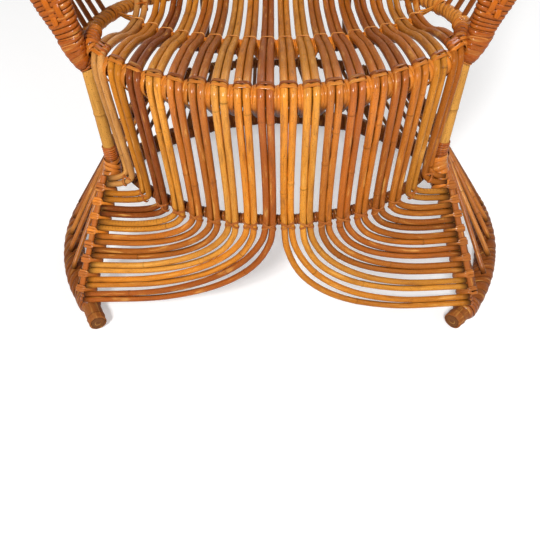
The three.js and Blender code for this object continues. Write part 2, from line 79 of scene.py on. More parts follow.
ARM_SHARES = [(0.056, 0, 0.085), (0.094, 0.009, 0.167), (0.151, 0.02, 0.268), (0.333, 0.123, 0.536),
              (0.51, 0.323, 0.672), (0.656, 0.557, 0.738)]
ARM_TURN = 74
INFILL_COUNT = 7

# The pack moved the whole chair along Y
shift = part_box("front_rim")[0].y / MM - RIM_FRONT
SHIFT = np.array([0, shift, 0])


def placed(side, points):
    """Points of the CAD's drawing, given for the right side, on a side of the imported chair."""
    return np.array(points, float) * [SIDES[side], 1, 1] + SHIFT


# Lines


def unit(v):
    return v / np.maximum(norm(v, axis=-1, keepdims=True), 1e-9)


def lengths(points):
    return np.r_[0, np.cumsum(norm(np.diff(points, axis=0), axis=1))]


def angles(count):
    return np.linspace(0, 2 * pi, count, endpoint=False)


def between(points, place):
    """The point at a fractional index."""
    j = min(int(place), len(points) - 2)
    return points[j] + (points[j + 1] - points[j]) * (place - j)


def rings(node, sides, top=False):
    """The middle of each ring of corners of a packed stick, in mm, and its radius in the last column."""
    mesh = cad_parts[node].data
    corners = np.array([v.co for v in mesh.vertices]) / MM
    table = {}
    ids = [table.setdefault(tuple(c), len(table)) for c in np.round(corners, 2)]
    points = np.array(list(table))
    links = [set() for _ in points]
    for edge in mesh.edges:
        a, b = (ids[i] for i in edge.vertices)
        if a != b:
            links[a].add(b)
            links[b].add(a)

    def farthest(i):
        seen, layer = {i}, {i}
        while layer:
            last = layer
            layer = {k for j in layer for k in links[j]} - seen
            seen |= layer
        return min(last)

    start = int(points[:, 2].argmax()) if top else farthest(farthest(0))
    nearest = np.argsort(norm(points - points[start], axis=1))
    ring = set(nearest[:sides].tolist())
    seen, out = set(ring), []
    while len(ring) == sides or (ring and not top):
        around = points[sorted(ring)]
        middle = around.mean(0)
        out.append([*middle, norm(around - middle, axis=1).mean()])
        ring = {k for i in ring for k in links[i]} - seen
        seen |= ring
    return np.array(out)


def ordered(node, sides):
    """The rings of a stick from left to right."""
    found = rings(node, sides)
    return found if found[0, 0] < found[-1, 0] else found[::-1]


def blend(a, b, u, start, end):
    return ((end - u) * a + (u - start) * b) / (end - start)


def spline(rows, per=14):
    """Centripetal Catmull-Rom line through the rows."""
    rows = np.asarray(rows, float)
    ends = np.vstack([2 * rows[0] - rows[1], rows, 2 * rows[-1] - rows[-2]])
    out = []
    for a, b, c, d in zip(ends, ends[1:], ends[2:], ends[3:]):
        gaps = [max(norm(q[:3] - p[:3]), 1e-6) ** 0.5 for p, q in ((a, b), (b, c), (c, d))]
        t0, t1, t2, t3 = np.cumsum([0, *gaps])
        u = np.linspace(t1, t2, per, endpoint=False)[:, None]
        ab, bc, cd = blend(a, b, u, t0, t1), blend(b, c, u, t1, t2), blend(c, d, u, t2, t3)
        out.append(blend(blend(ab, bc, u, t0, t2), blend(bc, cd, u, t1, t3), u, t1, t2))
    return np.vstack([*out, ends[-2:-1]])


class Line:
    """A smooth line whose normals turn as little as they can, or keep to `ref`. More columns run along."""

    FINE, COARSE = 3.0, 14.0  # spacing of stations
    TURN = 0.13  # radians between two of them

    def __init__(self, points, ref=None, smooth=True):
        rows = spline(points) if smooth else points
        self.p, self.extra = rows[:, :3], rows[:, 3:]
        self.s = lengths(self.p)
        self.length = self.s[-1]
        self.t = unit(np.gradient(self.p, axis=0))
        self.n = np.zeros_like(self.p)
        for i, t in enumerate(self.t):
            if ref is None:
                base = self.n[i - 1] if i else np.array([0.3, 0.2, 1.0])
            else:
                base = np.array(ref(self.p[i]) if callable(ref) else ref, float)
            v = base - t * (base @ t)
            self.n[i] = v / max(norm(v), 1e-9)

    def at(self, s):
        """Points, directions and both normals at the lengths s."""

        def pick(a):
            return np.stack([np.interp(s, self.s, a[:, k]) for k in range(a.shape[1])], -1)

        p, t, n = pick(self.p), unit(pick(self.t)), pick(self.n)
        n = unit(n - t * (n * t).sum(-1, keepdims=True))
        return p, t, n, np.cross(t, n)

    def more(self, s):
        return np.interp(s, self.s, self.extra[:, 0])

    def nearest(self, point):
        return norm(self.p - point, axis=1).argmin()

    def stations(self, extra):
        """Lengths to put rings at, closer together where the line bends."""
        bend = norm(np.gradient(self.t, self.s, axis=0), axis=1)
        density = 1 / np.clip(self.TURN / np.maximum(bend, 1e-6), self.FINE, self.COARSE)
        total = np.r_[0, np.cumsum((density[1:] + density[:-1]) / 2 * np.diff(self.s))]
        s = np.interp(np.linspace(0, total[-1], int(total[-1]) + 2), total, self.s)
        return np.unique(np.r_[s, [e for e in extra if 0 < e < self.length]])


# Skins of the pieces


def lin(r, g, b):
    c = np.array([r, g, b]) / 255
    return np.where(c <= 0.04045, c / 12.92, ((c + 0.055) / 1.055) ** 2.4)


class Skin:
    """Collects faces of one piece, with the attributes that its material reads."""

    def __init__(self):
        self.parts, self.faces, self.count = [], [], 0

    def grid(self, pos, grain, tint, mark, around=False, flip=False, gloss=1.0):
        rows, cols = pos.shape[:2]
        index = np.arange(rows * cols).reshape(rows, cols) + self.count
        a, b = index[:-1], index[1:]
        if around:
            quads = np.stack([a, np.roll(a, -1, 1), np.roll(b, -1, 1), b], -1)
        else:
            quads = np.stack([a[:, :-1], a[:, 1:], b[:, 1:], b[:, :-1]], -1)
        quads = quads.reshape(-1, 4)
        self.faces.append(quads[:, ::-1] if flip else quads)
        vectors = [np.broadcast_to(x, (rows, cols, 3)).reshape(-1, 3) for x in (pos, grain, tint)]
        self.parts.append([*vectors, *(np.broadcast_to(x, (rows, cols)).reshape(-1) for x in (mark, gloss))])
        self.count += rows * cols

    def make(self, name, material, slot, *nodes):
        pos, grain, tint, mark, gloss = (np.concatenate([p[k] for p in self.parts]) for k in range(5))
        faces = np.concatenate(self.faces)
        mesh = bpy.data.meshes.new(name)
        mesh.vertices.add(len(pos))
        mesh.vertices.foreach_set("co", (pos * MM).astype(np.float32).ravel())
        mesh.loops.add(faces.size)
        mesh.loops.foreach_set("vertex_index", faces.astype(np.int32).ravel())
        mesh.polygons.add(len(faces))
        mesh.polygons.foreach_set("loop_start", np.arange(0, faces.size, 4, dtype=np.int32))
        mesh.update(calc_edges=True)
        mesh.validate()
        rgba = np.concatenate([tint, np.ones((len(tint), 1))], 1).clip(0, 1)
        for key, kind, field, values in (
                ("grain", "FLOAT_VECTOR", "vector", grain), ("tint", "FLOAT_COLOR", "color", rgba),
                ("mark", "FLOAT", "value", mark), ("gloss", "FLOAT", "value", gloss)):
            layer = mesh.attributes.new(key, kind, "POINT")
            layer.data.foreach_set(field, values.astype(np.float32).ravel())
        mesh.shade_smooth()
        mesh.materials.append(material)
        piece = bpy.data.objects.new(name, mesh)
        scene.collection.objects.link(piece)
        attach(piece, "root")
        if nodes:
            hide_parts(*nodes)


def grain_of(along, across, depth):
    """Grain of a grid: along for each row, across and depth for each column."""
    return np.stack(np.broadcast_arrays(along[:, None], across, depth), -1)


def shade(tint, s, seed, amount=0.15, run=120.0):
    phase = seed * 12.9898
    wave = np.sin(s / run + phase) + 0.7 * np.sin(s / (run * 0.37) + 2 * phase)
    wave = wave + 0.5 * np.sin(s / (run * 2.1) + phase * 3)
    k = (1 + amount * wave / 1.6)[..., None]
    return tint * k ** np.array([0.8, 1.0, 1.25])


def growth(length, seed, low=170, high=330):
    local = np.random.default_rng(int(seed * 977) + 5)
    out, at = [], local.uniform(40, high)
    while at < length - 15:
        out.append(at)
        at += local.uniform(low, high)
    return out


def knuckles(s, r, nodes, seed):
    mark = np.zeros(len(s))
    for n in nodes:
        r = r * (1 + 0.06 * np.exp(-((s - n) / 2.6) ** 2) - 0.03 * np.exp(-((s - n - 5) / 3) ** 2))
        depth = 0.4 + 0.3 * sin(seed * 9 + n) ** 2
        mark = np.maximum(mark, depth * np.exp(-((s - n - 0.3) / 0.8) ** 2))
    return r, mark


def tube(skin, line, radius, tint, seed, sides, nodes=(), span=None, mark_ends=(0, 0), fade=None, painted_shade=None,
         gloss=None):
    """A round stick with closed ends. fade, gloss and the painted-shade function are functions of its points:
    fade scales the colour, here for painted shade and highlight, gloss scales the coat, and the third lays
    painted shade on as dark marks.
    """
    s = line.stations([n + d for n in nodes for d in (-7, -3.2, -1.1, 0, 1.1, 3.2, 7)])
    if span:
        s = np.unique(np.r_[span[0], s[(s > span[0]) & (s < span[1])], span[1]])
    r = radius(s) if callable(radius) else np.full(len(s), float(radius))
    r, mark = knuckles(s, r, nodes, seed)
    # Dark marks fading in from both ends: painted shade where the canes go in under ties, strips and
    # lashings.
    mark = np.maximum(mark, mark_ends[0] * np.exp(-(s - s[0]) / 8))
    mark = np.maximum(mark, mark_ends[1] * np.exp(-(s[-1] - s) / 5))
    s = np.r_[s[0] - 0.6, s[0] - 0.5, s, s[-1] + 0.5, s[-1] + 0.6]
    r = np.r_[r[0] * 0.02, r[0] * 0.86, r, r[-1] * 0.86, r[-1] * 0.02]
    mark = np.pad(mark, 2, "edge")[:, None]
    inside = np.clip(s, 0, line.length)
    p, t, n, b = line.at(inside)
    p = p + t * (s - inside)[:, None]
    a = angles(sides)
    ca, sa = np.cos(a), np.sin(a)
    pos = p[:, None] + (r[:, None] * ca)[..., None] * n[:, None] + (r[:, None] * sa)[..., None] * b[:, None]
    size = float(np.median(r))
    colour = shade(tint, s, seed)
    if fade:
        colour = colour * fade(p)[:, None]
    # Painted shade, laid on as dark marks.
    if painted_shade:
        mark = np.maximum(mark, painted_shade(p, unit(pos - p[:, None])))
    skin.grid(pos, grain_of(s + seed * 531.7, size * ca, size * sa), colour[:, None], mark, around=True,
              gloss=gloss(p)[:, None] if gloss else 1.0)


# The five columns of a wound peel: place across it, height of its crown, and dark edges, painted shade in the
# grooves between turns
PEEL_AT = np.array([0, 0.13, 0.5, 0.87, 1.0])
PEEL_UP = np.array([-1.0, 0.2, 1.0, 0.2, -1.0])
PEEL_MARK = np.array([1, 0.12, 0, 0.12, 1.0])


def winding(skin, line, s0, s1, radius, pitch, tint, seed, crown=0.8, seg=16, run=6, power=1.0,
            floor=-np.inf, vary=0.1, jitter=0.12, start=0.0, lean=0.0, waver=0.0, edge_mark=1.0):
    """One long peel wound round a line. radius is a number, two half-sizes or a function that gives both."""
    local = np.random.default_rng(int(seed * 1009) + 3)
    turns = max(int(round((s1 - s0) / pitch)), 1)
    wide = local.uniform(1 - jitter, 1 + jitter, turns)
    edges = s0 + np.r_[0, np.cumsum(wide / wide.sum() * (s1 - s0))]
    u = np.linspace(0, turns + 1, (turns + 1) * seg + 1)
    wavers = local.normal(0, waver * pitch, 3 * turns + 7)

    def edge(x):
        clipped = np.clip(x, 0, turns)
        inner = np.clip(np.minimum(clipped, turns - clipped) * 2, 0, 1)
        sway = lean * np.sin(2 * pi * x + start) + np.interp(3 * x + 3, np.arange(len(wavers)), wavers)
        return np.interp(x, np.arange(turns + 1), edges) + inner * sway

    left, right = edge(u - 1), edge(u)
    thick = np.clip((right - left) / pitch, 0, 1.15)
    lift = np.interp(u, np.arange(turns + 2), local.normal(0, 0.18 * crown, turns + 2))
    s = left[:, None] + (right - left)[:, None] * PEEL_AT
    h = PEEL_UP * crown * thick[:, None] + lift[:, None]
    p, t, n, b = line.at(s)
    theta = 2 * pi * u + start
    c, d = np.cos(theta)[:, None], np.sin(theta)[:, None]
    if power != 1.0:
        c, d = np.sign(c) * np.abs(c) ** power, np.sign(d) * np.abs(d) ** power
    if callable(radius):
        ra, rb = radius(s)
    else:
        ra, rb = radius if isinstance(radius, tuple) else (radius, radius)
    pos = p + ((ra + h) * c)[..., None] * n + ((rb + h) * d)[..., None] * b
    pos[..., 2] = np.maximum(pos[..., 2], floor)
    size = float(np.mean(ra) + np.mean(rb)) / 2
    grain = grain_of(theta * size + seed * 311, PEEL_AT * pitch, seed * 7.3)
    blocks = local.normal(0, vary, turns // run + 3)
    tone = np.interp(u / run, np.arange(len(blocks)), blocks)
    tone = tone + np.interp(u, np.arange(turns + 2), local.normal(0, vary * 0.6, turns + 2))
    colour = tint * (1 + tone)[:, None, None] ** np.array([0.8, 1.0, 1.3])
    skin.grid(pos, grain, colour, PEEL_MARK * edge_mark, flip=True)


# The section of a flat strip, across and out, and the marks on its corners, painted shade on its edges and
# underside
PROFILE = np.array([[-1, 0.05], [-0.82, 0.75], [-0.4, 1.0], [0.4, 1.0], [0.82, 0.75], [1, 0.05], [0.8, -0.2],
                    [-0.8, -0.2]])
PROFILE_MARK = np.array([0.8, 0.1, 0, 0, 0.1, 0.8, 1, 1]) * 0.7


def ribbon(skin, points, normals, width, thick, tint, seed, smooth=True, taper=True, painted_shade=0.0):
    """A strip of peel: points are the middle of its underside and normals point out of its face."""
    both = np.hstack([points, normals])
    both = spline(both, 3) if smooth else both
    p, n = both[:, :3], unit(both[:, 3:])
    side = unit(np.cross(unit(np.gradient(p, axis=0)), n))
    half = np.full(len(p), width / 2)
    if taper:
        half[[0, -1]] *= 0.7
    pos = p[:, None] + (half[:, None] * PROFILE[:, 0])[..., None] * side[:, None]
    pos = pos + (thick * PROFILE[:, 1])[None, :, None] * n[:, None]
    s = lengths(p) + seed * 97.3
    grain = grain_of(s, PROFILE[:, 0] * width / 2, seed * 3.1)
    colour = shade(tint, s, seed, 0.06, 30)[:, None]
    # The marks darken the edges and underside as painted shade, and any extra painted shade given is laid on
    # top.
    skin.grid(pos, grain, colour, np.maximum(PROFILE_MARK, painted_shade), around=True, flip=True)


def coil(skin, line, s0, s1, radius, a0, a1, width, thick, tint, seed):
    """A strip that goes round a line from angle a0 at s0 to a1 at s1, in degrees from its first normal."""
    count = max(int(abs(a1 - a0) / 15), 3)
    p, t, n, b = line.at(np.linspace(s0, s1, count))
    a = np.radians(np.linspace(a0, a1, count))[:, None]
    out = np.cos(a) * n + np.sin(a) * b
    ribbon(skin, p + out * radius, out, width, thick, tint, seed)


# Materials


class Shading:
    def __init__(self, owner):
        owner.use_nodes = True
        self.tree = owner.node_tree
        self.tree.nodes.clear()

    def node(self, kind, inputs=None, **settings):
        """Adds a node. An input is a value, or the output that feeds it."""
        added = self.tree.nodes.new(kind)
        for key, value in settings.items():
            setattr(added, key, value)
        for key, value in (inputs or {}).items():
            if isinstance(value, bpy.types.NodeSocket):
                self.tree.links.new(value, added.inputs[key])
            else:
                added.inputs[key].default_value = value
        return added

    def attribute(self, name, output="Fac"):
        return self.node("ShaderNodeAttribute", attribute_name=name).outputs[output]

    def maths(self, how, a, b=0.0):
        return self.node("ShaderNodeMath", {0: a, 1: b}, operation=how).outputs[0]

    def ramp(self, value, low, high, to_low=0.0, to_high=1.0):
        """Goes smoothly from to_low at low to to_high at high."""
        inputs = {"Value": value, "From Min": low, "From Max": high, "To Min": to_low, "To Max": to_high}
        return self.node("ShaderNodeMapRange", inputs, interpolation_type="SMOOTHSTEP").outputs["Result"]

    def noise(self, grain, along, across, detail):
        scale = {0: grain, 1: (along, across, across)}
        scaled = self.node("ShaderNodeVectorMath", scale, operation="MULTIPLY").outputs["Vector"]
        inputs = {"Vector": scaled, "Scale": 1.0, "Detail": detail, "Roughness": 0.55}
        return self.node("ShaderNodeTexNoise", inputs).outputs["Fac"]

    def paint(self, under, colour, amount):
        """Lays a colour over another, by the Mix node's colour sockets."""
        inputs = {"Factor": amount, 6: under, 7: (*colour, 1)}
        return self.node("ShaderNodeMix", inputs, data_type="RGBA").outputs[2]

    def seen_rays(self, others, seen):
        """`seen` for camera, glossy and transmission rays and `others` for the rest."""
        path = self.node("ShaderNodeLightPath")
        total = path.outputs["Is Camera Ray"]
        for kind in ("Is Glossy Ray", "Is Transmission Ray"):
            total = self.maths("MAXIMUM", total, path.outputs[kind])
        return self.ramp(total, 0.0, 1.0, others, seen)


def nick_rows(tree, grain, cloud, patch, nicks):
    place = tree.node("ShaderNodeSeparateXYZ", {0: grain}).outputs
    wander = tree.maths("MULTIPLY", cloud, 9.0)
    wave = tree.maths("SINE", tree.maths("ADD", tree.maths("MULTIPLY", place["X"], 1.05), wander))
    row = tree.maths("MULTIPLY", tree.ramp(wave, 0.3, 0.95, 0, nicks), tree.ramp(place["Y"], 1.4, 3.2))
    return tree.maths("MULTIPLY", row, tree.ramp(patch, 0.36, 0.5))


def material(name, rough, fibre, speck, coat, blotch=0.5, bump=0.25, stretch=0.12, specular=0.06, nicks=0.0,
             coat_rough=0.19):
    made = bpy.data.materials.new(name)
    tree = Shading(made)
    grain = tree.attribute("grain", "Vector")
    mark = tree.attribute("mark")
    streak = tree.noise(grain, stretch * 0.25, 1.6, 4)
    fine = tree.noise(grain, stretch, 4.0, 3)
    patch = tree.noise(grain, 0.022, 0.16, 2)
    dots = tree.noise(grain, 0.45, 0.9, 1)
    cloud = tree.noise(grain, 0.06, 0.3, 3)
    mottle = tree.noise(grain, 0.35, 1.5, 3)
    colour = tree.attribute("tint", "Color")
    for pattern, low, high, strength, layer in (
            (streak, 0.42, 0.8, fibre, (0.27, 0.075, 0.012)), (patch, 0.55, 0.78, blotch, (0.86, 0.44, 0.10)),
            (patch, 0.46, 0.26, blotch * 0.85, (0.17, 0.045, 0.009)),
            (cloud, 0.5, 0.7, 0.5 * fibre, (0.34, 0.11, 0.02)),
            (mottle, 0.5, 0.72, 0.4 * fibre, (0.3, 0.1, 0.02)),
            (mottle, 0.46, 0.28, 0.22 * fibre, (0.95, 0.6, 0.2)),
            (dots, 0.64, 0.74, speck, (0.07, 0.02, 0.006))):
        colour = tree.paint(colour, layer, tree.ramp(pattern, low, high, 0, strength))
    if nicks:
        colour = tree.paint(colour, (0.12, 0.04, 0.01), nick_rows(tree, grain, cloud, patch, nicks))
    # The marks go near black: growth rings and cut ends, and painted shade at peel edges, cane ends, between
    # canes and under the rim's loops.
    colour = tree.paint(colour, (0.03, 0.008, 0.002), tree.maths("MULTIPLY", mark, 0.94))
    height = tree.maths("ADD", fine, tree.maths("MULTIPLY", streak, 1.4))
    bumps = tree.node("ShaderNodeBump", {"Strength": bump, "Distance": 0.0006, "Height": height})
    shader = tree.node("ShaderNodeBsdfPrincipled", {
        "Base Color": colour,
        "Roughness": tree.ramp(fine, 0.3, 0.7, *rough),
        "Specular IOR Level": specular,
        "Coat Weight": tree.maths("MULTIPLY", tree.attribute("gloss"), tree.ramp(mark, 0.05, 0.6, coat, 0)),
        "Coat Roughness": coat_rough,
        "Normal": bumps.outputs["Normal"],
    })
    tree.node("ShaderNodeOutputMaterial", {"Surface": shader.outputs["BSDF"]})
    return made


CANE = material("rattan_cane", (0.26, 0.4), fibre=0.65, speck=0.7, coat=0.19, blotch=0.62)
NICKED = material("nicked_cane", (0.26, 0.4), fibre=0.65, speck=0.7, coat=0.17, blotch=0.62, nicks=0.4)
POLE = material("rattan_pole", (0.42, 0.65), fibre=0.35, speck=0.85, coat=0.02, specular=0.08)
PEEL = material("glossy_peel", (0.24, 0.38), fibre=0.55, speck=0.5, coat=0.25, bump=0.22, coat_rough=0.13)
DARK = material("dark_peel", (0.34, 0.6), fibre=0.6, speck=0.5, coat=0.05, blotch=0.6, bump=0.3,
                specular=0.05)
LIGHT = material("light_peel", (0.28, 0.45), fibre=0.4, speck=0.35, coat=0.14, blotch=0.4, bump=0.15)
CUT = material("cut_end", (0.6, 0.8), fibre=0.7, speck=0.7, coat=0.0, stretch=2.0, specular=0.05)

# Colours of the nine pairs on each side, from the outermost inwards
TAN, GOLDEN, REDBROWN, PALE = lin(226, 158, 84), lin(218, 134, 34), lin(146, 66, 16), lin(230, 150, 48)
MEDIUM, YELLOW, ORANGE = lin(196, 108, 28), lin(220, 148, 54), lin(200, 114, 32)
TINTS = {
    "left": [TAN, GOLDEN, REDBROWN, PALE, MEDIUM, lin(184, 100, 24), YELLOW, lin(218, 132, 34),
             lin(180, 90, 22)],
    "right": [MEDIUM, lin(226, 144, 46), ORANGE, lin(176, 92, 24), lin(206, 114, 26), lin(180, 94, 24),
              ORANGE, lin(230, 152, 50), GOLDEN],
}
NICKED_PAIRS = (("left", 3), ("right", 1), ("right", 3))
CANE_SWELL = 1.045  # the round canes are a little thicker than their five-sided sticks

# Long canes


def painted_light_by_place(side):
    """Painted light on the canes by place: painted shade on the seat and up the back, darker low on the
    apron, and a painted highlight over the bend of the front rim.
    """
    low = 0.87 if side == "left" else 0.7

    def tone(p):
        y, z = p[:, 1] - shift, p[:, 2]
        # Painted shade on the seat and up the back; on the front, darker low down and a painted highlight
        # (1.12) over the rim's bend.
        seat = np.interp(y, [60, 110], [1, 0.74]) * np.interp(z, [430, 520], [1, 0.9])
        front = np.interp(z, [150, 260, 340, 395, 425], [low, 0.97, 0.97, 1.12, 1.0])
        return seat * np.where(y < 150, front, 1)

    return tone


def polish(p):
    """The varnish shines most over the front rim and is dull on the seat and up the back."""
    apron = np.interp(p[:, 2], [250, 330, 390], [0.9, 1.2, 2.8])
    return apron + (0.25 - apron) * np.interp(p[:, 1] - shift, [60, 105], [0, 1])


# Painted shade: dark marks on the side of a cane that faces the other cane of its pair, where the two lie
# close.
def pair_gap_shade(other):
    def painted_shade(p, normals):
        gap = norm(other.p[None] - p[:, None], axis=2)
        to = other.p[gap.argmin(1)] - p
        close = np.clip((16 - gap.min(1)) / 4, 0, 1)
        facing = (normals * unit(to)[:, None]).sum(-1)
        return 0.95 * close[:, None] * np.clip((facing - 0.88) / 0.07, 0, 1)

    return painted_shade


def cane_line(side, pair, letter):
    found = rings(f"cane_{side}_{pair + 1}{letter}", 5)
    return Line(found if found[0, 2] < found[-1, 2] else found[::-1])


def bent_cane(side, pair, k):
    line, beside = canes[side, pair][k], canes[side, pair][1 - k]
    name = f"{side}_{pair + 1}{'ab'[k]}"
    seed = (pair * 2 + k + (20 if side == "right" else 0)) * 0.37 + 0.11
    skin = Skin()
    tint = TINTS[side][pair] * (1 + 0.12 * sin(seed * 31))
    nodes = growth(line.length, seed)
    # The canes get painted shade and highlight by place, and painted shade where they face their partner.
    tube(skin, line, lambda s: line.more(s) * CANE_SWELL, tint, seed, sides=14, nodes=nodes,
         mark_ends=(1, 0.6), fade=painted_light_by_place(side), painted_shade=pair_gap_shade(beside), gloss=polish)
    look = NICKED if (side, pair) in NICKED_PAIRS else CANE
    skin.make(f"bent_cane_{name}", look, "rattan_cane", f"cane_{name}")


canes = {(side, pair): [cane_line(side, pair, letter) for letter in "ab"] for side, pair in PAIR_LIST}
for side, pair in PAIR_LIST:
    bent_cane(side, pair, 0)
    bent_cane(side, pair, 1)

# Strips that bind


def over(centre, across, along, out, half, r, slope, reach):
    """A taut strip over two canes, flat in the middle and bent down by `reach`: its points and normals."""
    flat = 0.28
    q = np.linspace(-1, 1, 13)
    turn = np.clip((np.abs(q) - flat) / (1 - flat), 0, 1) * reach
    x = np.sign(q) * (half * np.minimum(np.abs(q) / flat, 1) + r * np.sin(turn))
    z = r * np.cos(turn)
    points = centre + x[:, None] * across + z[:, None] * out + (slope * x)[:, None] * along
    normals = (np.sign(q) * np.sin(turn))[:, None] * across + np.cos(turn)[:, None] * out
    return points, normals


def meeting(pair, rail, near):
    """Where a pair crosses a rail: its middle, the ways across, along and out, and half its spacing."""
    one, two = pair
    s = np.linspace(0, one.length, 1400)
    points = one.at(s)[0]
    gap = norm(points[:, None] - rail.p[::3][None], axis=-1).min(1)
    k = int(np.where(near(points), gap, np.inf).argmin())
    here = points[k]
    other = two.p[two.nearest(here)]
    centre = (here + other) / 2
    m = rail.nearest(centre)
    along = one.at([s[k]])[1][0]
    across = rail.t[m] - along * (rail.t[m] @ along)
    across = across / norm(across)
    out = centre - rail.p[m]
    out = out - across * (out @ across) - along * (out @ along)
    out = out / norm(out)
    apart = (other - here) - along * ((other - here) @ along)
    return centre, across, along, out, max(norm(apart) / 2, 4.5)


def ties(name, rail, r, tint, first, near, slope, width):
    """Two crossed strips that tie each pair to a rail, where `near` holds for its points."""
    skin = Skin()
    for side, pair in PAIR_LIST:
        seed = pair + first + (10 if side == "right" else 0)
        spot = meeting(canes[side, pair], rail, near)
        for k, lean in enumerate((slope, -slope)):
            ribbon(skin, *over(*spot, r + 0.15 + 0.5 * k, lean, 2.1), width, 0.9, tint, seed + k)
    skin.make(name, LIGHT, "light_peel")


def disc(x, y, radius, count):
    return [(x + radius * cos(a), y + radius * sin(a)) for a in angles(count)]


def hull(points):
    points = sorted(map(tuple, points))

    def half(along):
        out = []
        for p in along:
            while len(out) > 1:
                a, b = out[-2:]
                if (b[0] - a[0]) * (p[1] - a[1]) - (b[1] - a[1]) * (p[0] - a[0]) > 0:
                    break
                out.pop()
            out.append(p)
        return out

    return np.array(half(points)[:-1] + half(points[::-1])[:-1])


def closed(outline, count):
    loop = np.vstack([outline, outline[:1]])
    s = lengths(loop)
    at = np.linspace(0, s[-1], count)
    return np.stack([np.interp(at, s, loop[:, k]) for k in range(2)], -1)


# Floor ring


def ring_cut_ends():
    r = np.array([0.02, 2.8, 5.6, 8.2, 10.8, 12.6, 13.2])
    a = angles(40)
    rr = r[:, None] * (1 + 0.03 * np.sin(3 * a) + 0.02 * np.sin(7 * a + 1))
    dome = 0.9 - 0.5 * (r / 13.2) ** 4
    grain = np.stack([rr * 14, np.cos(a) * 1.5 + 0 * rr, np.sin(a) * 1.5 + 0 * rr], -1)
    dark = 0.3 + 0.25 * np.sin(r * 2.1)[:, None] + (r / 13.2)[:, None] ** 6 * 0.4
    skin = Skin()
    for s, sign in ((0, -1), (ring_line.length, 1)):
        p, t, n, b = (x[0] for x in ring_line.at([s]))
        pos = p + sign * t * dome[:, None, None] + (rr * np.cos(a))[..., None] * n
        pos = pos + (rr * np.sin(a))[..., None] * b
        skin.grid(pos, grain, lin(110, 70, 44), dark, around=True, flip=sign < 0)
    skin.make("floor_ring_cut_ends", CUT, "rattan_pole")


def ring_end_straps():
    skin = Skin()
    for k, (s, sign) in enumerate(((wrap_from, 1), (wrap_to, -1))):

        def closing(at):
            return 2 * (np.interp((at - s) * sign, [-9, 2], [15.4, 20.1]),)

        low, high = sorted((s - 9 * sign, s + 22 * sign))
        winding(skin, ring_line, low, high, closing, 7.7, lin(146, 74, 24), 4.7 + 0.2 * k, crown=0.7, seg=22,
                floor=0.3)
    skin.make("floor_ring_end_straps", PEEL, "dark_peel_wrap")


def floor_ring():
    skin = Skin()
    tube(skin, ring_line, 15.2, lin(146, 84, 38), 3.3, sides=28, nodes=(14, ring_line.length - 12))
    skin.make("floor_ring_pole", POLE, "rattan_pole", "floor_ring")
    ring_cut_ends()
    skin = Skin()
    winding(skin, ring_line, wrap_from, wrap_to, 19.3, 17.5, lin(124, 62, 20), 4.1, crown=0.9, seg=26,
            floor=0.3, vary=0.18, run=3, jitter=0.5, lean=10, waver=0.08, edge_mark=0.55)
    skin.make("floor_ring_peel", DARK, "dark_peel_wrap", "floor_ring_wrapping")
    ring_end_straps()


ring = ordered("floor_ring", 8)[::-1]
ring_line = Line(ring)
wrap_stations = ring[1:-1, :3]
wrap_from, wrap_to = (ring_line.s[ring_line.nearest(wrap_stations[k])] for k in (0, -1))
floor_ring()

# Front legs

# Peel round the knees: start, end, half of the turn in degrees, radius and width
KNEE_STRAPS = {
    "left": [(-17, 6, 160, 12.1, 7.6), (-15, 8, -160, 13.0, 7.4), (-6, 16, 160, 12.7, 7.4),
             (-4, 15, -160, 13.6, 7.0), (6, 24, 150, 13.4, 6.6), (12, 22, -150, 14.2, 6.4)],
    "right": [(-13 + 9.5 * j, 1 + 9.5 * j, 168, 14.0 + 0.3 * j, 9.4) for j in range(6)],
}
LOOP_POINTS = 44


class Leg:
    """A front leg: its line, its knee, and the ways down it and out of its front."""

    def __init__(self, side):
        self.side, self.sign = side, SIDES[side]
        reach = FOOT_SHARES[side]
        foot_y = RING_MIDDLE - RING_RADIUS * cos(asin(reach)) - FOOT_AHEAD[side]
        foot = placed(side, (RING_RADIUS * reach, foot_y, RING_HEIGHT))
        knee, head = placed(side, KNEES[side]), placed(side, POST_HEADS[side])
        down, up = unit(foot - knee), unit(head - knee)
        u = np.linspace(0, 1, 7)[:, None]
        bend = (1 - u) ** 2 * (knee + up * 18) + 2 * u * (1 - u) * knee + u ** 2 * (knee + down * 18)
        upper = [head + (bend[0] - head) * k for k in (-0.03, 0, 0.25, 0.5, 0.75)]
        lower = [bend[-1] + (foot - bend[-1]) * k for k in (0.2, 0.4, 0.6, 0.8, 0.94)]
        forward = unit(np.array([0, down[2], -down[1]]))
        self.line = Line(np.vstack([upper, bend, lower]), ref=(self.sign, 0, 0))
        self.knee, self.down = knee, down
        self.forward = forward if forward[1] < 0 else -forward
        self.knee_s = self.line.s[self.line.nearest(bend[3])]


def leg_pole(leg):
    skin = Skin()
    # Darker below the knee: painted shade where the lower pole shows between the ties.
    tube(skin, leg.line, 9.9, lin(216, 156, 72), 5.2 + leg.sign, sides=20, nodes=(leg.knee_s - 95,),
         fade=lambda p: np.interp(p[:, 2], [195, 215], [0.4, 1]))
    skin.make(f"front_leg_{leg.side}", POLE, "rattan_pole", f"front_post_{leg.side}")


